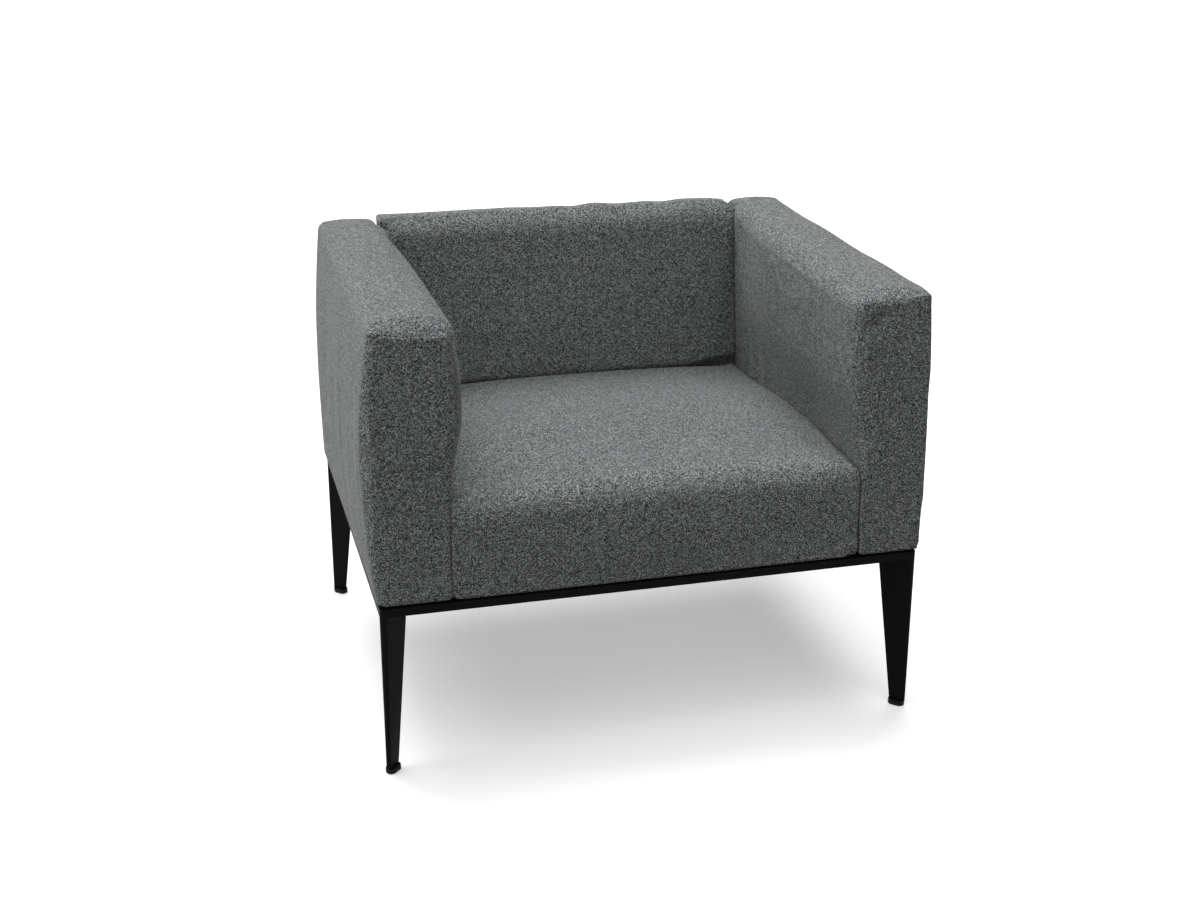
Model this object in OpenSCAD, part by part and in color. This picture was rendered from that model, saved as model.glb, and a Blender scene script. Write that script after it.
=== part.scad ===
// Upholstered armchair: a block seat and back between two crowned slab arms, on a black
// steel base frame with four tapered blade legs set across the corners.
// Millimetres. The origin is on the floor under the middle of the base frame.
// +X is the sitter's left, which is the right-hand side seen from the front, and -Y is the front.

/* [Base frame] */
// Width of the steel base frame
base_w = 786; // [760:2:820]
// Depth of the steel base frame
base_d = 628; // [610:2:660]
// Height of the underside of the base frame over the floor
leg_h = 243; // [200:1:280]
// Height of a base rail
rail_h = 12; // [10:1:16]
// Width of a base rail
rail_w = 30; // [26:1:34]
// Wall of the base rail tube
rail_wall = 2; // [1.5:0.5:3]

/* [Legs] */
// Radius of the outer edge of the blade at the top
nose_outer_r = 6; // [5:0.5:7]
// Radius of the inner edge of the blade at the top
nose_inner_r = 3; // [2.5:0.5:4]
// How thick the blade is at the bottom, as a share of the top
blade_thinning = 0.6; // [0.55:0.05:0.8]
// Inset of the inner edge from both rail faces at the top
blade_inset_top = 39.4; // [36:0.2:44]
// Inset of the inner edge from both rail faces at the bottom
blade_inset_foot = 17.4; // [16:0.2:22]
// Radius of the fillet between the inner edge and the rail
blade_fillet = 8; // [6:1:10]
// Thickness of the mounting plate on top of the leg
plate_t = 4; // [3:1:5]

/* [Glides] */
// Length of a glide across the corner
glide_l = 25; // [23:1:28]
// Width of a glide
glide_w = 16; // [14:1:18]
// Height of a glide
glide_h = 8; // [6:1:9]
// Diameter of the pin that holds a glide in its leg
glide_pin_d = 3; // [2.6:0.2:3.4]
// Length of that pin
glide_pin_l = 12; // [8:1:16]

/* [Arms] */
// Thickness of an arm over its cover
arm_t = 95; // [90:1:100]
// Height of the sewn edge round the top of an arm
arm_edge_h = 640; // [610:2:670]
// Radius of the crown on top of an arm
arm_crown_r = 90; // [85:5:160]
// How far the arm swells over the seat
arm_swell = 18; // [10:1:22]
// Front face of the upholstery
front_y = -311; // [-313:1:-309]
// Rear face of the upholstery
rear_y = 307; // [305:1:311]

/* [Seat] */
// Height of the top of the seat at the front
seat_front_h = 408; // [395:1:425]
// Height of the top of the seat at the rear
seat_rear_h = 380; // [370:1:388]
// Radius of the roll along the front edge
seat_roll_r = 45; // [35:1:50]
// Rear end of the seat, under the back
seat_rear_y = 243; // [241:1:244]

/* [Back] */
// Height of the top of the back
back_h = 656; // [630:2:680]
// Height of the lower edge of the back's front pad
back_pad_h = 390; // [389:1:396]
// Front face of the back at that edge
back_foot_y = 228; // [224:1:234]
// Front face of the back near the top
back_head_y = 246; // [240:1:252]

/* [Upholstery] */
// Thickness of the fabric
cover_t = 1.5; // [1:0.1:1.8]
// Clear gap between the fabric and the foam
cover_gap = 0.5; // [0.3:0.1:0.5]
// Clear gap between neighbouring covers
joint_gap = 1; // [0.6:0.2:1.4]
// Width of an elastic webbing strap
strap_w = 50; // [40:5:55]
// Thickness of an elastic webbing strap
strap_t = 2; // [1.5:0.5:2]

/* [Hidden] */
$fn = 48;
arc_steps = 12;
fillet_steps = 6;

SIDES = ["left", "right"];
CORNERS = [for (end = ["front", "rear"], side = SIDES) str(end, "_", side)];

FABRIC = [0.30, 0.31, 0.33];
BLACK = [0.03, 0.03, 0.03];
TIMBER = [0.76, 0.62, 0.42];
HARDBOARD = [0.45, 0.31, 0.20];
FOAM = [0.93, 0.90, 0.78];
ZINC = [0.70, 0.71, 0.72];
WEB = [0.16, 0.15, 0.14];

// Levels
base_top = leg_h + rail_h;
dust_cover_t = 0.8;
cover_foot = base_top + joint_gap;      // lower edge of every cover
frame_foot = cover_foot + 1;            // underside of the timber frames
foam_in = cover_t + cover_gap;          // from the outside of a cover to its foam
slip = 0.5;                             // clear gap between foam and the frame inside it

// Arms, for the +X side
arm_inner_x = base_w / 2 + 2 - arm_t;
arm_mid_x = arm_inner_x + arm_t / 2;
arm_edge_drop = arm_crown_r - sqrt(pow(arm_crown_r, 2) - pow(arm_t / 2, 2));
arm_pad_in = 25;                        // from the sitter's side of the cover to the frame
arm_pad_out = 12;                       // from the outside of the cover to the frame
arm_frame_x = arm_inner_x + arm_pad_in;
arm_frame_t = arm_t - arm_pad_in - arm_pad_out;
arm_timber = 22;
arm_post = 45;
arm_frame_front = front_y + 22;
arm_frame_rear = rear_y - 14;
arm_frame_top = arm_edge_h - 30;
panel_t = 3;
panel_foot = frame_foot + arm_timber / 2 + 12;
panel_top = arm_frame_top - arm_timber / 2;

// Seat
seat_w = 2 * (arm_inner_x - joint_gap);
seat_timber = 25;
seat_frame_h = 63;
seat_frame_x = seat_w / 2 - 3;
seat_frame_front = front_y + 20;
seat_frame_rear = seat_rear_y - 8;
seat_frame_top = frame_foot + seat_frame_h;
foam_base_foot = seat_frame_top + strap_t + slip;
foam_base_h = 37.5;
seat_strap_count = 6;
strap_margin = 15;                      // from the frame to the first and the last strap
block_leg = 60;

// Back
back_low_y = seat_rear_y + 2;
back_frame_y = back_low_y + 20;
back_frame_t = 28;
back_frame_top = back_h - 28;
back_timber = 40;
back_frame_x = seat_w / 2 - 6;
back_strap_count = 3;
back_lip_r = 22;                        // roll at the top of the front face
back_edge_r = 8;                        // sewn edge at the top of the rear face

// Fasteners, and the plates on the legs
bolt_r = 4;
bolt_head_r = 7;
bolt_head_h = 4;
socket_r = 2.9;
plate_leg = 85;
plate_tip = 8;
leg_bolt_insets = [[52, 54], [52, 84]];
leg_bolt_top = frame_foot + arm_timber + 2;
tee_barrel_r = 5.2;
tee_barrel_l = 11;
tee_flange_r = 10;
tee_flange_t = 2;
screw_r = 3;
screw_head_h = 3;
screw_inset = 20;
screw_ys = [-150, 0, 150];
arm_bolt_ys = [-180, -40, 130];
arm_bolt_z = frame_foot + arm_timber / 2;
arm_bolt_end_x = arm_frame_x + arm_frame_t - 15;
block_foot = arm_bolt_z + 15;
back_bolt_xs = [-200, 0, 200];
back_bolt_z = frame_foot + back_timber / 2;
back_bolt_end_y = back_frame_y + back_frame_t - 6;

// Points along an arc, both ends included
function arc(centre, r, from, to) =
    [for (i = [0:arc_steps]) let (a = from + (to - from) * i / arc_steps) centre + r * [cos(a), sin(a)]];

// Section of the seat in Y and Z, drawn in by d all round but for its open foot
function seat_section(d) = concat(
    [[front_y + d, cover_foot]],
    arc([front_y + seat_roll_r, seat_front_h - seat_roll_r], seat_roll_r - d, 180, 90),
    [[seat_rear_y - d, seat_rear_h - d], [seat_rear_y - d, cover_foot]]
);

// Section of the back in Y and Z: its front pad overhangs the rear of the seat
function back_section(d) = concat(
    [[back_low_y + d, cover_foot], [back_low_y + d, back_pad_h + d], [back_foot_y + d, back_pad_h + d]],
    arc([back_head_y + back_lip_r, back_h - back_lip_r], back_lip_r - d, 180, 90),
    arc([rear_y - back_edge_r, back_h - 3 - back_edge_r], back_edge_r - d, 90, 0),
    [[rear_y - d, cover_foot]]
);

// Extrudes a section drawn in Y and Z along X, centred, w wide
module along_x(w) translate([-w / 2, 0, 0]) rotate([90, 0, 90]) linear_extrude(w) children();

// Extrudes a section drawn in X and Z from y0 to y1
module along_y(y0, y1) translate([0, y1, 0]) rotate([90, 0, 0]) linear_extrude(y1 - y0) children();

// A box between two corners
module block(low, high) translate(low) cube(high - low);

// Draws the +X side's children on the named side
module on_side(side) mirror([side == "left" ? 1 : 0, 0, 0]) children();

// Places children at a corner of the base, where +X and +Y both run inwards from the rail faces
module at_corner(corner) {
    right = corner == "front_right" || corner == "rear_right";
    rear = corner == "rear_left" || corner == "rear_right";
    translate([(right ? 1 : -1) * base_w / 2, (rear ? 1 : -1) * base_d / 2, 0])
        mirror([right ? 1 : 0, 0, 0]) mirror([0, rear ? 1 : 0, 0]) children();
}

// ---- Base frame ----

// A rectangular tube along X, its outer upright corners rounded where round is true
module rail_tube(l, round) {
    difference() {
        union() {
            block([-l / 2 + (round ? nose_outer_r : 0), 0, 0], [l / 2 - (round ? nose_outer_r : 0), rail_w, rail_h]);
            if (round) for (x = [-l / 2, l / 2 - nose_outer_r])
                block([x, nose_outer_r, 0], [x + nose_outer_r, rail_w, rail_h]);
            if (round) for (x = [-1, 1])
                translate([x * (l / 2 - nose_outer_r), nose_outer_r, 0]) cylinder(h = rail_h, r = nose_outer_r);
        }
        bore_l = l - 2 * (round ? rail_w : 0) + (round ? 0 : 2);
        block([-bore_l / 2, rail_wall, rail_wall], [bore_l / 2, rail_w - rail_wall, rail_h - rail_wall]);
    }
}

module base_rail_end(rear)
    color(BLACK) translate([0, (rear ? 1 : -1) * base_d / 2, leg_h])
        mirror([0, rear ? 1 : 0, 0]) rail_tube(base_w, true);

module base_rail_side(side)
    color(BLACK) on_side(side) difference() {
        translate([base_w / 2, 0, leg_h]) rotate([0, 0, 90]) rail_tube(base_d - 2 * rail_w, false);
        base_screw_cuts();
    }

module base_cross_rail()
    color(BLACK) translate([0, -rail_w / 2, leg_h]) rail_tube(base_w - 2 * rail_w, false);

module base_screw_cuts()
    for (y = screw_ys) translate([base_w / 2 - screw_inset, y, leg_h - 1]) cylinder(h = rail_h + 40, r = screw_r);

module base_screws()
    color(ZINC) for (side = SIDES) on_side(side)
        for (y = screw_ys) translate([base_w / 2 - screw_inset, y, leg_h]) {
            cylinder(h = base_top + arm_timber - leg_h, r = screw_r);
            translate([0, 0, -screw_head_h]) cylinder(h = screw_head_h, r = 2 * screw_r);
        }

// ---- Legs and glides ----

// How far the fillet stands out at height z
function fillet_out(z) =
    let (t = max(0, (z - leg_h) / blade_fillet + 1)) blade_fillet * (1 - sqrt(1 - t * t)) / sqrt(2);

// The blade's outline at height z: the two rounded edges and the flats between them
function blade_ring(z) =
    let (
        up = (z - glide_h) / (leg_h - glide_h),
        thick = blade_thinning + (1 - blade_thinning) * up,
        outer_r = nose_outer_r * thick,
        inner_r = nose_inner_r * thick,
        inset = blade_inset_foot + (blade_inset_top - blade_inset_foot) * up + fillet_out(z),
        tangent = acos((outer_r - inner_r) / ((inset - outer_r) * sqrt(2))),
        around_outer = arc([outer_r, outer_r], outer_r, 45 + tangent, 405 - tangent),
        around_inner = arc([inset, inset], inner_r, 45 - tangent, 45 + tangent)
    )
    [for (p = concat(around_outer, around_inner)) [p.x, p.y, z]];

// The blade, lofted through its outlines from the glide to the rail
module leg_blade() {
    levels = concat([glide_h], [for (i = [0:fillet_steps]) leg_h - blade_fillet * (1 - i / fillet_steps)]);
    n = 2 * (arc_steps + 1);
    top = len(levels) - 1;
    polyhedron(
        points = [for (z = levels) each blade_ring(z)],
        faces = concat(
            [[for (i = [0:n - 1]) i]],
            [for (k = [0:top - 1], i = [0:n - 1]) [k * n + i, (k + 1) * n + i, (k + 1) * n + (i + 1) % n]],
            [for (k = [0:top - 1], i = [0:n - 1]) [k * n + i, (k + 1) * n + (i + 1) % n, k * n + (i + 1) % n]],
            [[for (i = [n - 1:-1:0]) top * n + i]]
        )
    );
}

// Inset of the middle of the blade's foot from both rail faces
foot_inset = (nose_outer_r * blade_thinning + blade_inset_foot) / 2;

module leg(corner)
    color(BLACK) at_corner(corner) difference() {
        union() {
            leg_blade();
            translate([0, 0, leg_h]) linear_extrude(plate_t)
                translate([rail_w, rail_w])
                    polygon([[0, 0], [plate_leg, 0], [plate_leg, plate_tip],
                             [plate_tip, plate_leg], [0, plate_leg]]);
        }
        translate([foot_inset, foot_inset, glide_h - 1]) cylinder(h = glide_pin_l + 1, r = glide_pin_d / 2);
        for (at = leg_bolt_insets) translate([at.x, at.y, leg_h - 1]) cylinder(h = plate_t + 2, r = bolt_r);
    }

// An oval nylon pad across the corner, its lower edge chamfered, with a pin into the leg
module glide(corner) {
    chamfer = 1.5;
    half = (glide_l - glide_w) / 2;
    r = glide_w / 2;
    color(BLACK) at_corner(corner) translate([foot_inset, foot_inset, 0]) {
        rotate([0, 0, 45]) {
            for (x = [-half, half]) translate([x, 0, 0]) {
                cylinder(h = chamfer, r1 = r - chamfer, r2 = r);
                translate([0, 0, chamfer]) cylinder(h = glide_h - chamfer, r = r);
            }
            translate([-half, 0, 0]) rotate([90, 0, 90]) linear_extrude(2 * half)
                polygon([[chamfer - r, 0], [r - chamfer, 0], [r, chamfer], [r, glide_h],
                         [-r, glide_h], [-r, chamfer]]);
        }
        translate([0, 0, glide_h - 1]) cylinder(h = glide_pin_l + 1, r = glide_pin_d / 2);
    }
}

module leg_bolts()
    color(ZINC) for (corner = CORNERS) at_corner(corner)
        for (at = leg_bolt_insets) translate([at.x, at.y, leg_h]) {
            cylinder(h = leg_bolt_top - leg_h, r = bolt_r);
            translate([0, 0, -bolt_head_h]) difference() {
                cylinder(h = bolt_head_h, r = bolt_head_r);
                translate([0, 0, -1]) cylinder(h = bolt_head_h / 2 + 1, r = socket_r, $fn = 6);
            }
        }

module tee_nut_body() {
    translate([0, 0, frame_foot + arm_timber - tee_barrel_l]) cylinder(h = tee_barrel_l, r = tee_barrel_r);
    translate([0, 0, frame_foot + arm_timber]) cylinder(h = tee_flange_t, r = tee_flange_r);
}

module leg_tee_nuts()
    color(ZINC) for (corner = CORNERS) at_corner(corner)
        for (at = leg_bolt_insets) translate([at.x, at.y, 0]) difference() {
            tee_nut_body();
            translate([0, 0, leg_h]) cylinder(h = 2 * arm_timber + rail_h, r = bolt_r);
        }

// What the leg bolts and their tee nuts take out of the timber and the sheet above the legs
module leg_bolt_cuts()
    for (corner = CORNERS) at_corner(corner)
        for (at = leg_bolt_insets) translate([at.x, at.y, 0]) {
            translate([0, 0, leg_h]) cylinder(h = leg_bolt_top - leg_h, r = bolt_r);
            tee_nut_body();
        }

module dust_cover()
    color(BLACK) difference() {
        block([rail_w - base_w / 2 + 1, rail_w - base_d / 2 + 1, base_top],
              [base_w / 2 - rail_w - 1, base_d / 2 - rail_w - 1, base_top + dust_cover_t]);
        leg_bolt_cuts();
    }

// ---- Bolts between the seat, the arms and the back ----

// The shanks of the arm bolts on the +X side
module arm_bolt_shanks()
    for (y = arm_bolt_ys) translate([seat_frame_x - seat_timber, y, arm_bolt_z])
        rotate([0, 90, 0]) cylinder(h = arm_bolt_end_x - seat_frame_x + seat_timber, r = bolt_r);

module arm_bolts()
    color(ZINC) for (side = SIDES) on_side(side) {
        arm_bolt_shanks();
        for (y = arm_bolt_ys) translate([seat_frame_x - seat_timber - bolt_head_h, y, arm_bolt_z])
            rotate([0, 90, 0]) cylinder(h = bolt_head_h, r = bolt_head_r);
    }

module back_bolt_shanks()
    for (x = back_bolt_xs) translate([x, back_bolt_end_y, back_bolt_z])
        rotate([90, 0, 0]) cylinder(h = back_bolt_end_y - seat_frame_rear + seat_timber, r = bolt_r);

module back_bolts()
    color(ZINC) {
        back_bolt_shanks();
        for (x = back_bolt_xs) translate([x, seat_frame_rear - seat_timber, back_bolt_z])
            rotate([90, 0, 0]) cylinder(h = bolt_head_h, r = bolt_head_r);
    }

// ---- Seat ----

module seat_frame_end(rear) {
    y = rear ? seat_frame_rear - seat_timber : seat_frame_front;
    color(TIMBER) difference() {
        block([-seat_frame_x, y, frame_foot], [seat_frame_x, y + seat_timber, seat_frame_top]);
        back_bolt_shanks();
    }
}

module seat_frame_side(side)
    color(TIMBER) on_side(side) difference() {
        block([seat_frame_x - seat_timber, seat_frame_front + seat_timber, frame_foot],
              [seat_frame_x, seat_frame_rear - seat_timber, seat_frame_top]);
        arm_bolt_shanks();
    }

// Glued triangles in the four corners of the seat frame
module seat_corner_blocks() {
    x = seat_frame_x - seat_timber;
    color(TIMBER) for (s = [-1, 1])
        for (y = [seat_frame_front + seat_timber, seat_frame_rear - seat_timber]) {
            inwards = y < 0 ? 1 : -1;
            translate([0, 0, block_foot]) linear_extrude(seat_frame_top - block_foot)
                polygon([[s * x, y], [s * (x - block_leg), y], [s * x, y + inwards * block_leg]]);
        }
}

module seat_webbing() {
    first = seat_frame_front + seat_timber + strap_margin;
    last = seat_frame_rear - seat_timber - strap_margin - strap_w;
    color(WEB) for (i = [0:seat_strap_count - 1]) {
        y = first + (last - first) * i / (seat_strap_count - 1);
        block([-seat_frame_x, y, seat_frame_top], [seat_frame_x, y + strap_w, seat_frame_top + strap_t]);
    }
}

module seat_foam_base()
    color(FOAM) block([-seat_frame_x, seat_frame_front, foam_base_foot],
                      [seat_frame_x, seat_frame_rear, foam_base_foot + foam_base_h]);

// The soft top layer, which laps down over the front and rear of the frame
module seat_foam_top()
    color(FOAM) difference() {
        along_x(seat_w - 2 * foam_in) polygon(seat_section(foam_in));
        block([-seat_w, seat_frame_front - slip, 0],
              [seat_w, seat_frame_rear + slip, foam_base_foot + foam_base_h + slip]);
        back_bolt_shanks();
    }

module seat_cover()
    color(FABRIC) difference() {
        along_x(seat_w) polygon(seat_section(0));
        along_x(seat_w - 2 * cover_t) polygon(seat_section(cover_t));
        block([cover_t - seat_w / 2, front_y + cover_t, 0],
              [seat_w / 2 - cover_t, seat_rear_y - cover_t, cover_foot + 1]);
        for (side = SIDES) on_side(side) arm_bolt_shanks();
        back_bolt_shanks();
    }

// ---- Arms, drawn on the +X side ----

// Section in X and Z, drawn in by d: two upright sides under a crown
module arm_section(d) intersection() {
    translate([arm_inner_x + d, cover_foot]) square([arm_t - 2 * d, arm_edge_h]);
    translate([arm_mid_x, arm_edge_h + arm_edge_drop - arm_crown_r])
        union() {
            circle(arm_crown_r - d);
            translate([-arm_t, -arm_edge_h]) square([2 * arm_t, arm_edge_h]);
        }
}

// Section of the swelling on the sitter's side, from just over the seat to the crown
module swell_section(d) polygon([
    [arm_inner_x + 2 * arm_swell, seat_front_h + d], [arm_inner_x + d, seat_front_h + d],
    [arm_inner_x - arm_swell + d, seat_front_h + 2 * arm_swell],
    [arm_inner_x - arm_swell + d, arm_edge_h - arm_swell], [arm_inner_x + d, arm_edge_h - d],
    [arm_inner_x + 2 * arm_swell, arm_edge_h - d]
]);

// The arm's outside, drawn in by d all round but for its open foot
module arm_body(d) {
    along_y(front_y + d, rear_y - d) arm_section(d);
    along_y(front_y + d, back_foot_y - joint_gap - d) swell_section(d);
}

// Hardboard let into both faces of the arm frame
module arm_panel_blocks()
    for (x = [arm_frame_x, arm_frame_x + arm_frame_t - panel_t])
        block([x, arm_frame_front + arm_timber, panel_foot],
              [x + panel_t, arm_frame_rear - arm_timber, panel_top]);

module arm_panels(side)
    color(HARDBOARD) on_side(side) arm_panel_blocks();

module arm_frame(side)
    color(TIMBER) on_side(side) difference() {
        block([arm_frame_x, arm_frame_front, frame_foot],
              [arm_frame_x + arm_frame_t, arm_frame_rear, arm_frame_top]);
        block([0, arm_frame_front + arm_post, frame_foot + arm_timber],
              [base_w, arm_frame_rear - arm_post, arm_frame_top - arm_timber]);
        arm_panel_blocks();
        leg_bolt_cuts();
        base_screw_cuts();
        arm_bolt_shanks();
    }

module arm_foam(side)
    color(FOAM) on_side(side) difference() {
        arm_body(foam_in);
        block([arm_frame_x, arm_frame_front, 0], [arm_frame_x + arm_frame_t, arm_frame_rear, arm_frame_top]);
        arm_bolt_shanks();
    }

module arm_cover(side)
    color(FABRIC) on_side(side) difference() {
        arm_body(0);
        arm_body(cover_t);
        block([arm_inner_x + cover_t, front_y + cover_t, 0],
              [arm_inner_x + arm_t - cover_t, rear_y - cover_t, cover_foot + 1]);
        arm_bolt_shanks();
    }

// ---- Back ----

module back_frame()
    color(TIMBER) difference() {
        block([-back_frame_x, back_frame_y, frame_foot],
              [back_frame_x, back_frame_y + back_frame_t, back_frame_top]);
        block([back_timber - back_frame_x, 0, frame_foot + back_timber],
              [back_frame_x - back_timber, rear_y, back_frame_top - back_timber]);
        back_bolt_shanks();
    }

module back_panel()
    color(HARDBOARD)
        block([-back_frame_x, back_frame_y + back_frame_t, frame_foot],
              [back_frame_x, back_frame_y + back_frame_t + panel_t, back_frame_top]);

module back_webbing() {
    first = seat_rear_h + 10;
    last = back_frame_top - back_timber - strap_w;
    color(WEB) for (i = [0:back_strap_count - 1]) {
        z = first + (last - first) * i / (back_strap_count - 1);
        block([-back_frame_x, back_frame_y - strap_t, z], [back_frame_x, back_frame_y, z + strap_w]);
    }
}

// Foam in front of the webbing, lapped over the top and down the rear of the frame
module back_foam()
    color(FOAM) difference() {
        along_x(seat_w - 2 * foam_in) polygon(back_section(foam_in));
        block([-back_frame_x - slip, back_frame_y - strap_t - slip, 0],
              [back_frame_x + slip, back_frame_y + back_frame_t + panel_t + slip, back_frame_top + slip]);
        back_bolt_shanks();
    }

module back_cover()
    color(FABRIC) difference() {
        along_x(seat_w) polygon(back_section(0));
        along_x(seat_w - 2 * cover_t) polygon(back_section(cover_t));
        block([cover_t - seat_w / 2, back_low_y + cover_t, 0],
              [seat_w / 2 - cover_t, rear_y - cover_t, cover_foot + 1]);
        back_bolt_shanks();
    }

// ---- The nodes ----

base_rail_end(false);  // base_rail_front
base_rail_end(true);  // base_rail_rear
base_cross_rail();
for (side = SIDES) {
    base_rail_side(side);
    seat_frame_side(side);
    arm_frame(side);
    arm_panels(side);
    arm_foam(side);
    arm_cover(side);
}
for (corner = CORNERS) {
    leg(corner);
    glide(corner);
}
leg_bolts();
leg_tee_nuts();
base_screws();
dust_cover();
seat_frame_end(false);  // seat_frame_front
seat_frame_end(true);  // seat_frame_rear
seat_corner_blocks();
seat_webbing();
seat_foam_base();
seat_foam_top();
seat_cover();
back_frame();
back_panel();
back_webbing();
back_foam();
back_cover();
arm_bolts();
back_bolts();
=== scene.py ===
import bpy
import numpy as np
from mathutils import Matrix, Vector


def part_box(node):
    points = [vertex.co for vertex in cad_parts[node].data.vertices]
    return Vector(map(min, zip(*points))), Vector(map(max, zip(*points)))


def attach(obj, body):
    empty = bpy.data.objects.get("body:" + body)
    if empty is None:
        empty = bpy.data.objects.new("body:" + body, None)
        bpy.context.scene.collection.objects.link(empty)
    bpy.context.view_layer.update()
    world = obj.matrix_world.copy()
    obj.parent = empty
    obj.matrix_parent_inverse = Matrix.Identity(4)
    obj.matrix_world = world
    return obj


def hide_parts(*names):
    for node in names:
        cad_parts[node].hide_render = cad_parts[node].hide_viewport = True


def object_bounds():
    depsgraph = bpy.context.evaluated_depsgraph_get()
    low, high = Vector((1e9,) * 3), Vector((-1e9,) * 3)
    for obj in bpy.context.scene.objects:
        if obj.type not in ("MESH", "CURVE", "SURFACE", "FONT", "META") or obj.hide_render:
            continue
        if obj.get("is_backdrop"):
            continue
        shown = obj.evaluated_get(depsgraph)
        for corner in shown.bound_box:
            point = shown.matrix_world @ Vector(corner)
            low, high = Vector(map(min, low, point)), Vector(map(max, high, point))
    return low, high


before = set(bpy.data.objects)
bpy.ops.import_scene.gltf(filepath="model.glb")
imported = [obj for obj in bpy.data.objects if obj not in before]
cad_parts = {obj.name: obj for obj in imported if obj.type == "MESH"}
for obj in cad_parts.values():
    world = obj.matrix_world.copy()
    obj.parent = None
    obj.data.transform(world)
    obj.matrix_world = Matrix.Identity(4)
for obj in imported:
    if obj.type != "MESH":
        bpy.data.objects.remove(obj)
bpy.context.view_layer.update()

# The looks of the upholstered armchair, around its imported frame. Shapes are worked out in
# millimetres, in the frame's own axes, and turned into metres where a mesh is made.
MM = 1000.0
BODY = "root"

# Padded pieces: the grid of each mesh, and the cloth simulation that blows it up
GRID_FINE, GRID_COARSE, EDGE_ZONE = 3.2, 8.5, 36.0
DRAWN_IN = 2.5              # how far inside its shape a cover starts
SWELL_FRAMES = 16
SWELL_CAP = 6.0             # no point moves further than this
SETTLING = 0.85             # how much of the way back to its shape a swollen cover is laid
GROOVE_DEPTH = 1.8
CLOTH = {"quality": 5, "mass": 0.3, "tension_stiffness": 20, "compression_stiffness": 20, "shear_stiffness": 8,
         "bending_stiffness": 4, "use_pressure": True, "uniform_pressure_force": 4.0}
COVER_SAG, COVER_GRID = 3.0, 12

# Fabric, in metres: short lengths of yarn, each with its own shade and tint
THREAD, YARN_STRETCH = 0.00055, 2.6
FLECKS = [(0.29, (0.003, 0.0032, 0.0034)), (0.43, (0.037, 0.039, 0.041)),
          (0.57, (0.112, 0.117, 0.121)), (0.72, (0.550, 0.565, 0.570))]
TINTS = [(0.0, (0.90, 1.04, 1.03)), (0.5, (1.0, 1.0, 1.0)), (1.0, (1.06, 0.98, 0.97))]
SHEEN, SHEEN_ROUGHNESS = 0.25, 0.25

# Suns: name, azimuth from the front (-Y) towards the viewer's right (+X), elevation, spread, strength
LIGHTS = [("side_low", -90, 12, 30, 0.9), ("side_high", -90, 65, 40, 0.95), ("behind", 180, 65, 40, 2.5),
          ("front", 0, 32, 45, 0.36), ("front_high", 0, 65, 40, 0.7)]
# The world's brightness by height, from 0 straight down through 0.5 at the horizon to 1 straight up.
# It is already white at the floor's far edge, so that no dark line shows beyond it.
SKY = [(0.47, 0.0), (0.48, 1.0), (0.6, 1.0), (0.65, 0.08)]
FLOOR_REACH, FLOOR_WHITE, FLOOR_GLOW = 60.0, 0.8, 0.33

# Camera: degrees, millimetres of lens and sensor, and metres
CAMERA_AZIMUTH, CAMERA_PITCH, CAMERA_ROLL = -15.06, 20.56, 0.22
CAMERA_LENS, CAMERA_SENSOR = 51.43, 36
CAMERA_PLACE = (-0.64935, -2.40682, 1.27078)


# ---- Shape tools: distance fields, negative inside ----

def smooth(t):
    """0 before t = 0, 1 after t = 1, with no corners."""
    t = np.clip(t, 0, 1)
    return t * t * (3 - 2 * t)


def mix(a, b, share):
    return a + (b - a) * share


def hump(x, centre, width):
    return np.exp(-((x - centre) / width) ** 2)


def arc(radius, run):
    """How far a circle falls away from its tangent, a run along that tangent."""
    return radius - np.sqrt(radius**2 - run**2)


def fillet(a, b, r):
    """Where both fields are negative, with the edge between them rounded to radius r."""
    u, v = np.maximum(a + r, 0), np.maximum(b + r, 0)
    return np.minimum(-r, np.maximum(a, b)) + np.hypot(u, v)


def leads(a, b, width):
    """1 where field a is well over field b, 0 where it is well under."""
    return smooth(0.5 + (a - b) / (2 * width))


class Ripples:
    """Slow, soft waves in three dimensions, the same each run."""

    def __init__(self, seed, lengths, count=24):
        rng = np.random.default_rng(seed)
        direction = rng.normal(size=(count, 3))
        direction /= np.linalg.norm(direction, axis=1)[:, None]
        scale = np.array(lengths) * rng.uniform(0.7, 1.4, (count, 1))
        self.waves = 2 * np.pi * direction / scale
        self.phases = rng.uniform(0, 2 * np.pi, count)
        self.gain = np.sqrt(2 / count)

    def __call__(self, p):
        return np.sin(p @ self.waves.T + self.phases).sum(1) * self.gain


def lines(low, high, fine, coarse):
    """Places of the grid lines along one axis, closer together near both ends."""
    zone = min(EDGE_ZONE, (high - low) / 2)
    edge = np.linspace(0, zone, int(np.ceil(zone / fine)) + 1)
    steps = int(np.ceil((high - low - 2 * zone) / coarse))
    inner = np.linspace(low + zone, high - zone, steps + 1)
    return np.concatenate([low + edge[:-1], inner, (high - edge[:-1])[::-1]])


def box_grid(low, high, fine, coarse):
    """Points and quads of a box's surface."""
    axes = [lines(a, b, fine, coarse) for a, b in zip(low, high)]
    shape = [len(a) for a in axes]
    on_surface = np.zeros(shape, bool)
    for axis in range(3):
        for end in (0, -1):
            on_surface[(slice(None),) * axis + (end,)] = True
    ids = np.full(shape, -1)
    ids[on_surface] = np.arange(on_surface.sum())
    where = np.argwhere(on_surface)
    points = np.stack([axes[i][where[:, i]] for i in range(3)], axis=1)
    quads = []
    for axis in range(3):
        for end in (0, -1):
            side = ids[(slice(None),) * axis + (end,)]
            ring = [side[:-1, :-1], side[1:, :-1], side[1:, 1:], side[:-1, 1:]]
            flip = (end == 0) != (axis == 1)
            ring = ring[::-1] if flip else ring
            quads.append(np.stack([r.ravel() for r in ring], axis=1))
    return points, np.concatenate(quads)


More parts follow.
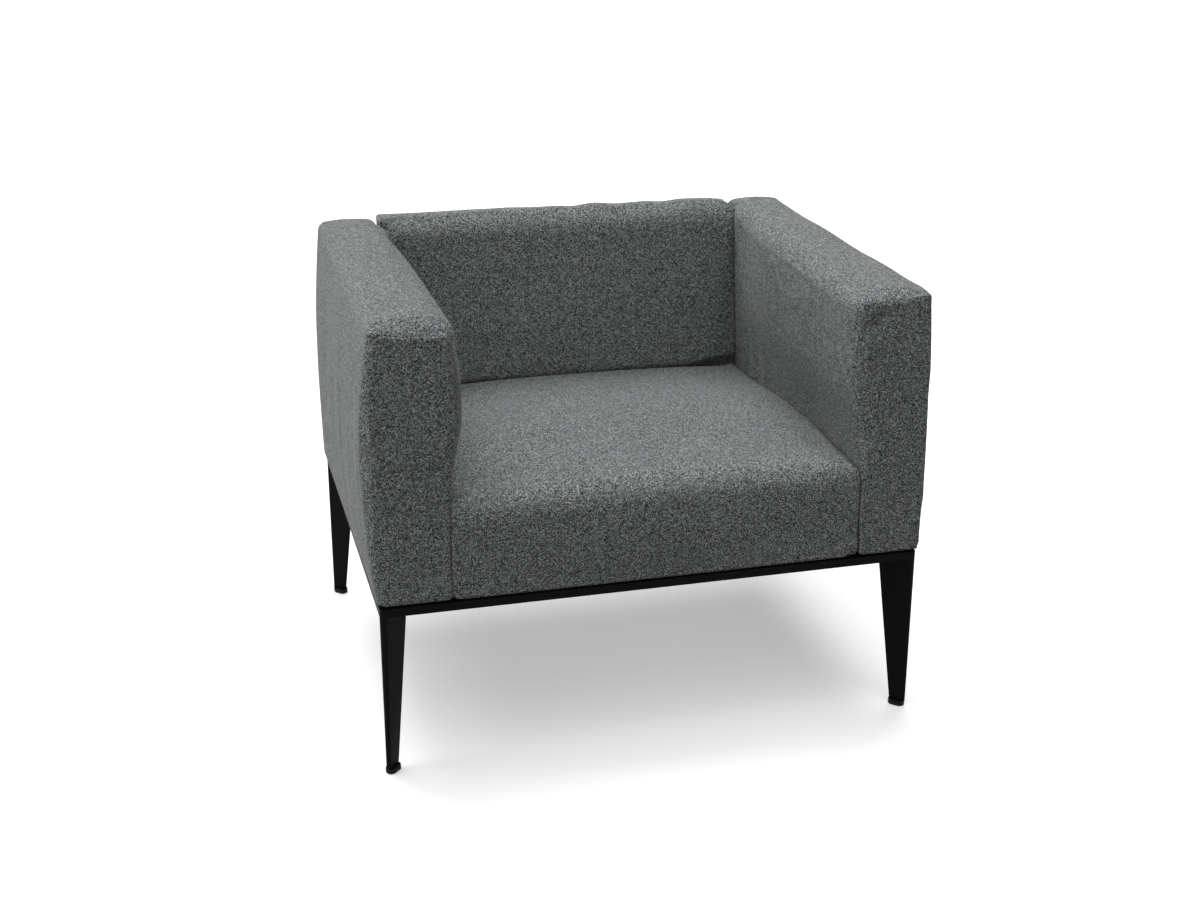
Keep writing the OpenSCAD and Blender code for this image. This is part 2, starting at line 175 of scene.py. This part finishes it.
def slope(field, p, reach=0.2):
    steps = np.eye(3) * reach
    return np.stack([(field(p + s) - field(p - s)) / (2 * reach) for s in steps], axis=1)


def settle(field, p, rounds=14):
    """Moves points along the field's slope until they lie on its surface."""
    for _ in range(rounds):
        g = slope(field, p)
        p = p - g * (field(p) / np.maximum((g**2).sum(1), 0.3))[:, None]
    return p


# ---- The upholstered shapes ----
# The numbers in the fields below are places, lengths and radii in millimetres, from the chair's outlines.

seat_low, seat_high = (np.array(c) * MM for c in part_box("seat_cover"))
back_low, back_high = (np.array(c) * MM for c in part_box("back_cover"))
arm_low, arm_high = (np.array(c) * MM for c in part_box("arm_cover_right"))
FRONT, REAR, FOOT = arm_low[1], arm_high[1], arm_low[2]
OUTER, CREST = arm_high[0], arm_high[2]
JOIN_LEFT, JOIN_RIGHT = -291.5, 301.5                       # where the arms meet the seat and back
CHEEK_RUN, CHEEK_RADIUS, CHEEK_SWELL = 43.0, 60.0, 9        # the turned inner face behind a front panel
ROLL_RUN, ROLL_RADIUS = 34, 44                              # an arm's top, rolling over towards the front
FOLDS = [(2.2, 96, 8), (-1.8, 116, 9), (1.9, 143, 9), (-1.2, 166, 8)]      # height, y and width of each
DENT_DEPTH, DENT_WIDTH, DENT_SLANT = 4.5, 6.5, 0.52
DENT_X, DENT_Z = 292, 596                                   # the dent's lower end, at a panel's inner edge
SEAT_REAR, SEAT_FRONT, BACK_FOOT = 380.0, 403.0, 388.0


def join_x(side, y, z):
    """Where an arm and the parts beside it press together, outwards from the middle."""
    if side < 0:
        return -JOIN_LEFT + 3.5 * smooth((z - 600) / 40) * smooth((y - 180) / 40)
    flare = 4 * smooth((330 - z) / 90) * smooth((-150 - y) / 120)
    return JOIN_RIGHT + flare - 4 * smooth((z - 360) / 40) * smooth((-100 - y) / 200)


def back_face(z):
    """How far back the back cushion's face stands at its ends."""
    return mix(back_low[1], back_low[1] + 22, (z - BACK_FOOT) / 230)


class Arm:
    """One arm. u runs outwards from the middle of the chair, whichever side it is on.

    swells: how far the inner face stands out near the front, halfway and at the back
    cheek: 0 to 1, how much of that is lost where the inner face turns in behind the front panel
    rolls: 0 to 1, how much the top rolls over at the front, on its inner and its outer half
    sinks: how far the top lies under the crest, at the front and at the rear
    front_belly, rear_belly: how far the outer side stands out at its widest, the height of that
        place, and at what distance above and below it the side has drawn in by how much
    seam_drop: how much the front of the top falls towards its inner edge, per mm
    radii: of the front panel's inner and outer edge, and of the top's inner and outer edge
    folds, dent: 0 to 1, depth of the folds beside the back's foot and of the front panel's dent
    """

    def __init__(self, side, seed, swells, cheek, rolls, sinks, front_belly, rear_belly, seam_drop, radii,
                 folds, dent):
        self.side, self.swells, self.cheek = side, swells, cheek
        self.rolls, self.sinks = rolls, sinks
        self.front_belly, self.rear_belly = front_belly, rear_belly
        self.seam_drop, self.radii = seam_drop, radii
        self.folds, self.dent = folds, dent
        self.ripples = Ripples(seed, (260, 180, 220))

    def outer_x(self, y, z):
        reach = []
        for widest, height, half, pinch in (self.front_belly, self.rear_belly):
            reach.append(OUTER + widest - pinch * np.abs((z - height) / half) ** 2.3)
        return mix(*reach, smooth((y - FRONT) / (REAR - FRONT)))

    def bulge(self, y, z):
        """How far the inner face stands out past the join."""
        near, middle, far = self.swells
        near = near + CHEEK_SWELL * self.cheek * smooth((622 - z) / 60)
        bulge = mix(mix(near, middle, smooth((y - FRONT) / 240)), far, smooth((y - 20) / 200))
        bulge = bulge * smooth((z - 385) / 135) * smooth((back_face(z) + 8 - y) / 14)
        turned = arc(CHEEK_RADIUS, np.clip(FRONT + CHEEK_RUN - y, 0, CHEEK_RUN))
        return bulge * (1 - self.cheek * turned / arc(CHEEK_RADIUS, CHEEK_RUN))

    def top(self, u, y, z):
        """The field of the top, crowned across and rolling over at the front."""
        rolled = np.clip(FRONT + ROLL_RUN - y, 0, 40)
        at_front = smooth(rolled / ROLL_RUN)
        crown = mix(6, 1.5, at_front) * (1 - ((u - (JOIN_RIGHT + OUTER) / 2 + 3) / 50) ** 2)
        roll = arc(ROLL_RADIUS, rolled) * mix(*self.rolls, smooth((u - 345) / 45))
        top = z - (CREST - 3 + crown - roll)
        top = top + mix(*self.sinks, smooth((y + 250) / 300)) * smooth((REAR + 5 - y) / 50)
        return top + self.seam_drop * (OUTER - u) * at_front + 3 * smooth((y - REAR + 20) / 20)

    def faces(self, p):
        u, y, z = p[:, 0] * self.side, p[:, 1], p[:, 2]
        inner = join_x(self.side, y, z) - self.bulge(y, z) - u - self.pulls(y, z)
        outer = u - self.outer_x(y, z) + self.side_folds(y, z)
        front = FRONT - 2.5 * hump(z, 440, 150) * hump(u, 345, 45) - y
        rear = y - REAR - 2 * hump(z, 450, 150)
        return u, y, z, inner, outer, self.top(u, y, z), front, rear

    def side_folds(self, y, z):
        """Soft upright waves in the outer side."""
        tall = hump(z, 440, 150)
        return tall * (0.5 * np.sin(y / 19 + 0.9 * np.sin(z / 75)) + 0.35 * np.sin(y / 8.7 + z / 160))

    def pulls(self, y, z):
        """Upright folds low on the inner side, beside the back's foot."""
        low = smooth((z - 375) / 15) * smooth((480 - z) / 80)
        return sum(height * hump(y, place, width) for height, place, width in FOLDS) * low * self.folds

    def walls(self, p):
        """The four sides as one field, with the radius of the edge between them and the top."""
        u, y, z, inner, outer, top, front, rear = self.faces(p)
        sides, ends = np.maximum(inner, outer), np.maximum(front, rear)
        out, forward, lifted = smooth((u - 325) / 45), smooth((60 - y) / 120), smooth((z - 385) / 50)
        front_in, front_out, top_in, top_out = self.radii
        upright_r = mix(mix(4, 12, out), mix(mix(3, front_in, lifted), front_out, out), forward)
        along = smooth((y - FRONT) / 90) * mix(1, 0.5, smooth((y - 120) / 150))
        inner_r = mix(18, mix(top_in, 10, smooth((y - 200) / 40)), along)
        side_r = mix(inner_r, mix(4, top_out, along), out)
        edge_r = mix(side_r, mix(10, 1.5, forward), leads(ends, sides, 6))
        return u, y, z, fillet(sides, ends, upright_r), top, edge_r, sides

    def field(self, p):
        u, y, z, wall, top, edge_r, _ = self.walls(p)
        body = fillet(fillet(wall, top, edge_r), FOOT - z, 5)
        loose = 0.45 * self.ripples(p) + self.tucks(u, y, z)
        return body - loose * smooth((z - FOOT - 4) / 30)

    def tucks(self, u, y, z):
        """The soft dent in the front panel, slanting down from the top seam to its inner edge."""
        valley = z - (DENT_Z + DENT_SLANT * (u - DENT_X))
        ends = smooth((u - 286) / 10) * smooth((352 - u) / 40)
        return -DENT_DEPTH * self.dent * hump(valley, 0, DENT_WIDTH) * ends * hump(y, FRONT, 14)

    def seam(self, p):
        """0 to 1, how near a point is to the seam round the front panel, strongest along its top."""
        u, y, z, _, top, _, sides = self.walls(p)
        front_in, front_out = self.radii[:2]
        inset = mix(front_in * 0.8, front_out * 0.6, smooth((u - 325) / 45))
        outline = fillet(sides + inset, top + 1.5, 15)
        return hump(outline, 0, 2) * hump(y - FRONT, 0, 9) * mix(0.5, 1, smooth((z - 612) / 14))


class Seat:
    """The seat: it falls towards the back, and rolls over along its front."""

    def __init__(self):
        self.ripples = Ripples(31, (210, 160, 200))

    def faces(self, p):
        x, y, z = p.T
        across = 1 - (x / seat_high[0]) ** 2
        along = (y - FRONT) / (seat_high[1] - FRONT)
        top_z = mix(SEAT_FRONT - 8, SEAT_REAR + 1, smooth(along * 0.75 + 0.05)) + 9 * across
        top_z = top_z + (9 + 5 * across) * hump(along, 0.47, 0.32)
        front = FRONT - 4 * across * hump(z, 335, 70) - y
        sides = np.maximum(x - join_x(1, y, z), -x - join_x(-1, y, z)) + 0.3
        return x, y, z, across, sides, z - top_z, front, y - seat_high[1]

    def field(self, p):
        x, y, z, across, sides, top, front, rear = self.faces(p)
        ends = np.maximum(front, rear)
        wall = fillet(sides, ends, 4)
        roll = mix(11, mix(36, mix(30, 36, across), leads(front, rear, 60)), leads(ends, sides, 12))
        body = fillet(wall, top, roll)
        foot_r = mix(4, 12, smooth((np.abs(x) - seat_high[0] + 22) / 20))
        return fillet(body, FOOT - 0.4 - z, foot_r) - 0.7 * self.ripples(p) * smooth((z - FOOT) / 40)


class Back:
    """The back: a pad that overhangs the seat's rear, on a thinner foot behind it."""

    def __init__(self):
        self.ripples = Ripples(57, (240, 200, 190))
        self.crest = Ripples(58, (60, 400, 400), 12)

    def faces(self, p):
        x, y, z = p.T
        across = 1 - (x / back_high[0]) ** 2
        foot_z = BACK_FOOT + 12 * smooth((x - 190) / 110)
        pad = smooth((z - foot_z + 10) / 10)
        swell = 14 * across * hump(z, 455, 115)
        front_y = mix(back_low[1] + 17, back_face(z) - swell, pad)
        drop = 5 * smooth((x - 240) / 60)
        top_z = back_high[2] + 2.5 + 0.8 * self.crest(p) * smooth((x + 150) / 200) - drop
        sides = np.maximum(x - join_x(1, y, z), -x - join_x(-1, y, z)) + 0.6
        bump = 6 * hump(z, 634, 20) * smooth(x / 60) * hump(y, 243, 25)
        return x, y, z, across, sides - bump, z - top_z, front_y - y, y - REAR

    def field(self, p):
        x, y, z, across, sides, top, front, rear = self.faces(p)
        right = smooth(x / 200) * smooth((z - 595) / 30)
        front_led = leads(front, rear, 20)
        wall = fillet(sides, np.maximum(front, rear), mix(8, mix(6, 16, right), front_led))
        ends = leads(sides, np.maximum(front, rear), 10)
        roll = mix(mix(10, 38, front_led), mix(4, 20, right), ends)
        body = fillet(wall, top, roll)
        return fillet(body, FOOT - z, 5) - 0.7 * self.ripples(p) * smooth((z - FOOT) / 40)


# ---- Meshes ----

def new_mesh(name, points, faces):
    mesh = bpy.data.meshes.new(name)
    mesh.from_pydata((points / MM).tolist(), [], faces.tolist())
    mesh.update()
    obj = bpy.data.objects.new(name, mesh)
    bpy.context.scene.collection.objects.link(obj)
    return obj


def read_points(mesh):
    flat = np.empty(len(mesh.vertices) * 3)
    mesh.vertices.foreach_get("co", flat)
    return flat.reshape(-1, 3) * MM


def write_points(mesh, points):
    mesh.vertices.foreach_set("co", (points / MM).ravel())
    mesh.update()


def swell(obj, held):
    """Blows the cover up by cloth simulation. Points in held (0 to 1) stay on the frame, and no
    point moves more than SWELL_CAP."""
    start = read_points(obj.data)
    group = obj.vertex_groups.new(name="held")
    for i in np.flatnonzero(held > 0.01):
        group.add([int(i)], float(held[i]), "REPLACE")
    cloth = obj.modifiers.new("swell", "CLOTH")
    for key, value in CLOTH.items():
        setattr(cloth.settings, key, value)
    cloth.settings.vertex_group_mass = group.name
    cloth.settings.effector_weights.gravity = 0
    cloth.point_cache.frame_end = SWELL_FRAMES
    for number in range(1, SWELL_FRAMES + 1):
        bpy.context.scene.frame_set(number)
    ready = obj.evaluated_get(bpy.context.evaluated_depsgraph_get())
    move = read_points(ready.data) - start
    length = np.linalg.norm(move, axis=1)
    obj.modifiers.remove(cloth)
    obj.vertex_groups.remove(group)
    share = SWELL_CAP * np.tanh(length / SWELL_CAP) / np.maximum(length, 1e-6)
    write_points(obj.data, start + move * share[:, None])
    bpy.context.scene.frame_set(1)


def subdivide(obj):
    modifier = obj.modifiers.new("finer", "SUBSURF")
    modifier.levels = modifier.render_levels = 1
    ready = obj.evaluated_get(bpy.context.evaluated_depsgraph_get())
    mesh = bpy.data.meshes.new_from_object(ready)
    obj.modifiers.clear()
    obj.data = mesh
    mesh.shade_smooth()


def upholster(name, shape, low, high, held, grooves=None):
    """A padded piece: the shape's surface, drawn in a little, blown up to fill it, and then laid
    most of the way back to it, so that the outline keeps to the shape."""
    points, quads = box_grid(low, high, GRID_FINE, GRID_COARSE)
    drawn_in = DRAWN_IN
    points = settle(lambda p: shape.field(p) + drawn_in * (1 - held(p)), points)
    obj = new_mesh(name, points, quads)
    swell(obj, held(points))
    points = read_points(obj.data)
    write_points(obj.data, mix(points, settle(shape.field, points, 4), SETTLING))
    subdivide(obj)
    if grooves:
        points = read_points(obj.data)
        write_points(obj.data, points - GROOVE_DEPTH * grooves(points)[:, None] * slope(shape.field, points))
    return obj


# ---- Materials ----

def node(tree, kind, **values):
    made = tree.nodes.new(kind)
    for key, value in values.items():
        setattr(made, key, value)
    return made


def link(tree, source, target):
    tree.links.new(source, target)


def math(tree, operation, *operands):
    made = node(tree, "ShaderNodeMath", operation=operation)
    for socket, value in zip(made.inputs, operands):
        if isinstance(value, (int, float)):
            socket.default_value = value
        else:
            link(tree, value, socket)
    return made.outputs[0]


def new_material(name, **values):
    material = bpy.data.materials.new(name)
    material.use_nodes = True
    shader = material.node_tree.nodes["Principled BSDF"]
    for key, value in values.items():
        shader.inputs[key.replace("_", " ")].default_value = value
    return material, material.node_tree, shader


def ramp(tree, value, stops):
    made = node(tree, "ShaderNodeValToRGB")
    link(tree, value, made.inputs[0])
    while len(made.color_ramp.elements) < len(stops):
        made.color_ramp.elements.new(0.5)
    for element, (at, colour) in zip(made.color_ramp.elements, stops):
        element.position, element.color = at, (*colour, 1)
    return made.outputs[0]


def scaled(tree, place, factors):
    made = node(tree, "ShaderNodeVectorMath", operation="MULTIPLY")
    link(tree, place, made.inputs[0])
    made.inputs[1].default_value = factors
    return made.outputs[0]


def add_bump(tree, shader, height, strength, distance):
    bump = node(tree, "ShaderNodeBump")
    bump.inputs["Strength"].default_value = strength
    bump.inputs["Distance"].default_value = distance
    link(tree, height, bump.inputs["Height"])
    link(tree, bump.outputs[0], shader.inputs["Normal"])


def threads(tree, place, along):
    """Short lengths of yarn running along one axis, each with its own shade from 0 to 1."""
    size = [1 / THREAD] * 3
    size[along] = 1 / (THREAD * YARN_STRETCH)
    cells = node(tree, "ShaderNodeTexVoronoi")
    cells.inputs["Scale"].default_value = 1
    link(tree, scaled(tree, place, size), cells.inputs["Vector"])
    split = node(tree, "ShaderNodeSeparateColor")
    link(tree, cells.outputs["Color"], split.inputs[0])
    return split.outputs


def make_fabric():
    material, tree, shader = new_material("grey_melange", Roughness=0.95)
    place = node(tree, "ShaderNodeTexCoord").outputs["Object"]
    yarns = [threads(tree, place, axis) for axis in range(3)]
    shade = math(tree, "ADD", math(tree, "ADD", yarns[0][0], yarns[1][0]), yarns[2][0])
    shade = math(tree, "MULTIPLY", shade, 1 / 3)
    tinted = node(tree, "ShaderNodeMix", data_type="RGBA", blend_type="MULTIPLY")
    tinted.inputs[0].default_value = 1
    link(tree, ramp(tree, shade, FLECKS), tinted.inputs[6])
    link(tree, ramp(tree, yarns[0][1], TINTS), tinted.inputs[7])
    link(tree, tinted.outputs[2], shader.inputs["Base Color"])
    add_bump(tree, shader, shade, 0.5, 0.0006)
    shader.inputs["Specular IOR Level"].default_value = 0.1
    shader.inputs["Sheen Weight"].default_value = SHEEN
    shader.inputs["Sheen Roughness"].default_value = SHEEN_ROUGHNESS
    return material


def make_grained(name, stops, scale, rough, bump_depth, stretch=(1, 1, 1), **values):
    """A material whose colour and relief follow one noise, stretched along its grain."""
    material, tree, shader = new_material(name, **values)
    place = node(tree, "ShaderNodeTexCoord").outputs["Object"]
    noise = node(tree, "ShaderNodeTexNoise")
    noise.inputs["Scale"].default_value = scale
    noise.inputs["Detail"].default_value = 3.0
    link(tree, scaled(tree, place, stretch), noise.inputs["Vector"])
    grain = noise.outputs[0]
    link(tree, ramp(tree, grain, stops), shader.inputs["Base Color"])
    low, high = rough
    link(tree, math(tree, "MULTIPLY_ADD", grain, high - low, low), shader.inputs["Roughness"])
    add_bump(tree, shader, grain, 0.4, bump_depth)
    return material


def grey(value):
    return (value, value, value * 1.04)


def make_finishes():
    """The material of each carried-over part, by the start of its name."""
    steel = make_grained("satin_black", [(0.3, grey(0.002)), (0.7, grey(0.0035))], scale=900, rough=(0.40, 0.55),
                         bump_depth=0.00006, Specular_IOR_Level=0.04)
    nylon = make_grained("black_nylon", [(0.3, grey(0.006)), (0.7, grey(0.010))], scale=500, rough=(0.45, 0.6),
                         bump_depth=0.00005, Specular_IOR_Level=0.1)
    zinc = make_grained("zinc_steel", [(0.3, (0.50, 0.50, 0.48)), (0.7, (0.66, 0.65, 0.60))], scale=300,
                        rough=(0.3, 0.45), bump_depth=0.00004, Metallic=1.0)
    beech = make_grained("beech", [(0.3, (0.42, 0.24, 0.12)), (0.7, (0.62, 0.40, 0.22))], scale=30,
                         rough=(0.5, 0.7), bump_depth=0.0003, stretch=(1, 8, 8))
    board = make_grained("hardboard", [(0.3, (0.10, 0.055, 0.03)), (0.7, (0.20, 0.12, 0.07))], scale=220,
                         rough=(0.6, 0.8), bump_depth=0.0002)
    web = make_grained("elastic_web", [(0.35, grey(0.02)), (0.65, (0.30, 0.27, 0.22))], scale=350,
                       rough=(0.7, 0.9), bump_depth=0.0003)
    return {"base_rail": steel, "base_cross": steel, "leg_front": steel, "leg_rear": steel, "glide": nylon,
            "leg_bolts": zinc, "leg_tee": zinc, "base_screws": zinc, "arm_bolts": zinc, "back_bolts": zinc,
            "seat_frame": beech, "seat_corner": beech, "arm_frame": beech, "back_frame": beech,
            "arm_panels": board, "back_panel": board, "seat_webbing": web, "back_webbing": web}


def add_dust_cover():
    """The black cloth stretched under the seat, sagging a little between the rails."""
    low, high = (np.array(c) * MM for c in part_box("dust_cover"))
    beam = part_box("base_cross_rail")[1][1] * MM
    points, quads = box_grid(low, high, COVER_GRID, COVER_GRID)
    x, y = points[:, 0], points[:, 1]
    depth = np.clip((high[1] - np.abs(y)) * (np.abs(y) - beam), 0, None) / ((high[1] - beam) / 2) ** 2
    edge = np.clip(1 - (x / high[0]) ** 2, 0, 1)
    points[:, 2] -= COVER_SAG * depth * edge * smooth((np.abs(y) - beam) / 20)
    obj = new_mesh("dust_cover_cloth", points, quads)
    obj.data.shade_smooth()
    obj.data.materials.append(make_grained("black_lining", [(0.35, grey(0.008)), (0.65, grey(0.022))], scale=1400,
                                           rough=(0.85, 0.95), bump_depth=0.0003))
    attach(obj, BODY)
    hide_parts("dust_cover")


# ---- Floor, light and camera ----

def add_floor():
    mesh = bpy.data.meshes.new("floor")
    far = FLOOR_REACH
    mesh.from_pydata([(-far, -far, 0), (far, -far, 0), (far, far, 0), (-far, far, 0)], [], [(0, 1, 2, 3)])
    floor = bpy.data.objects.new("floor", mesh)
    bpy.context.scene.collection.objects.link(floor)
    material, tree, shader = new_material("floor_white", Roughness=0.9)
    shader.inputs["Base Color"].default_value = (FLOOR_WHITE, FLOOR_WHITE, FLOOR_WHITE, 1)
    shader.inputs["Emission Color"].default_value = (1, 1, 1, 1)
    shader.inputs["Emission Strength"].default_value = FLOOR_GLOW
    mesh.materials.append(material)
    floor.visible_diffuse = False
    floor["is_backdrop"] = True


def direction(azimuth, elevation):
    """Unit vector from the chair, by azimuth from the front (-Y) towards +X and by elevation."""
    a, e = np.radians(azimuth), np.radians(elevation)
    return Vector((np.sin(a) * np.cos(e), -np.cos(a) * np.cos(e), np.sin(e)))


def add_sun(name, azimuth, elevation, spread, strength):
    """A far, soft light."""
    light = bpy.data.lights.new(name, "SUN")
    light.angle, light.energy = np.radians(spread), strength
    obj = bpy.data.objects.new(name, light)
    obj.rotation_euler = direction(azimuth, elevation).to_track_quat("Z", "Y").to_euler()
    bpy.context.scene.collection.objects.link(obj)


def add_lights():
    world = bpy.data.worlds.new("studio")
    world.use_nodes = True
    tree = world.node_tree
    height = node(tree, "ShaderNodeSeparateXYZ")
    link(tree, node(tree, "ShaderNodeTexCoord").outputs["Generated"], height.inputs[0])
    upwards = math(tree, "MULTIPLY_ADD", height.outputs["Z"], 0.5, 0.5)
    glow = ramp(tree, upwards, [(at, (brightness,) * 3) for at, brightness in SKY])
    link(tree, glow, tree.nodes["Background"].inputs[0])
    bpy.context.scene.world = world
    for light in LIGHTS:
        add_sun(*light)
    bpy.context.scene.view_settings.view_transform = "Standard"


def add_camera():
    """A camera at the viewpoint found from the chair's own edges in the photo."""
    back = direction(CAMERA_AZIMUTH, CAMERA_PITCH)
    right = (-back).cross(Vector((0, 0, 1))).normalized()
    up = back.cross(right)
    roll = np.radians(CAMERA_ROLL)
    turned_right = right * np.cos(roll) + up * np.sin(roll)
    turned_up = up * np.cos(roll) - right * np.sin(roll)
    camera = bpy.data.objects.new("camera", bpy.data.cameras.new("camera"))
    camera.data.sensor_width = CAMERA_SENSOR
    camera.data.lens = CAMERA_LENS
    camera.matrix_world = Matrix((turned_right, turned_up, back)).transposed().to_4x4()
    camera.location = CAMERA_PLACE
    bpy.context.scene.collection.objects.link(camera)
    bpy.context.scene.camera = camera


# ---- Putting it together ----

fabric = make_fabric()


def dress(obj, body_nodes):
    obj.data.materials.clear()
    obj.data.materials.append(fabric)
    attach(obj, BODY)
    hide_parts(*body_nodes)


def at_foot(p):
    return smooth((FOOT + 16 - p[:, 2]) / 12)


def arm_held(arm):
    """Holds an arm's seam, its foot, and its inner face where the seat or the back hides it."""
    def held(p):
        hidden = smooth((408 - p[:, 2]) / 20) + smooth((p[:, 1] - 205) / 20)
        inner = smooth((330 - p[:, 0] * arm.side) / 20) * np.clip(hidden, 0, 1)
        return np.clip(arm.seam(p) * 1.5 + inner + at_foot(p), 0, 1)
    return held


def side_held(shape):
    """Holds the sides and the foot, and the part of the seat that the back hides."""
    def held(p):
        _, y, _, _, sides, *_ = shape.faces(p)
        behind = smooth((y - 215) / 12) * (shape is seat_shape)
        return np.clip(smooth((sides + 7) / 5) + at_foot(p) + behind, 0, 1)
    return held


arms = {
    "left": Arm(side=-1, seed=11, swells=(19, 20, 9), cheek=0.8, rolls=(0.9, 0.55), sinks=(0, 0),
                front_belly=(13, 447, 192, 14), rear_belly=(5.5, 385, 261, 12), seam_drop=0.045,
                radii=(3, 12, 26, 16), folds=0.5, dent=0.25),
    "right": Arm(side=1, seed=12, swells=(17, 15, 7), cheek=0, rolls=(0.6, 0.2), sinks=(6, 3.5),
                 front_belly=(6.5, 330, 310, 11), rear_belly=(5, 340, 300, 10.5), seam_drop=0.0,
                 radii=(18, 4, 30, 10), folds=1, dent=1),
}
for side, arm in arms.items():
    low, high = arm_low.copy(), arm_high.copy()
    if side == "left":
        low[0], high[0] = -arm_high[0], -arm_low[0]
    piece = upholster(f"arm_{side}", arm, low, high, arm_held(arm), arm.seam)
    dress(piece, [f"arm_cover_{side}", f"arm_foam_{side}"])

seat_shape, back_shape = Seat(), Back()
seat = upholster("seat", seat_shape, seat_low, seat_high + (0, 0, 4), side_held(seat_shape))
dress(seat, ["seat_cover", "seat_foam_top", "seat_foam_base"])
back = upholster("back", back_shape, back_low, back_high, side_held(back_shape))
dress(back, ["back_cover", "back_foam"])

finishes = make_finishes()
for name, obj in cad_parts.items():
    for prefix, finish in finishes.items():
        if name.startswith(prefix):
            obj.data.materials.clear()
            obj.data.materials.append(finish)
add_dust_cover()

add_floor()
add_lights()
add_camera()

low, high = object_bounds()
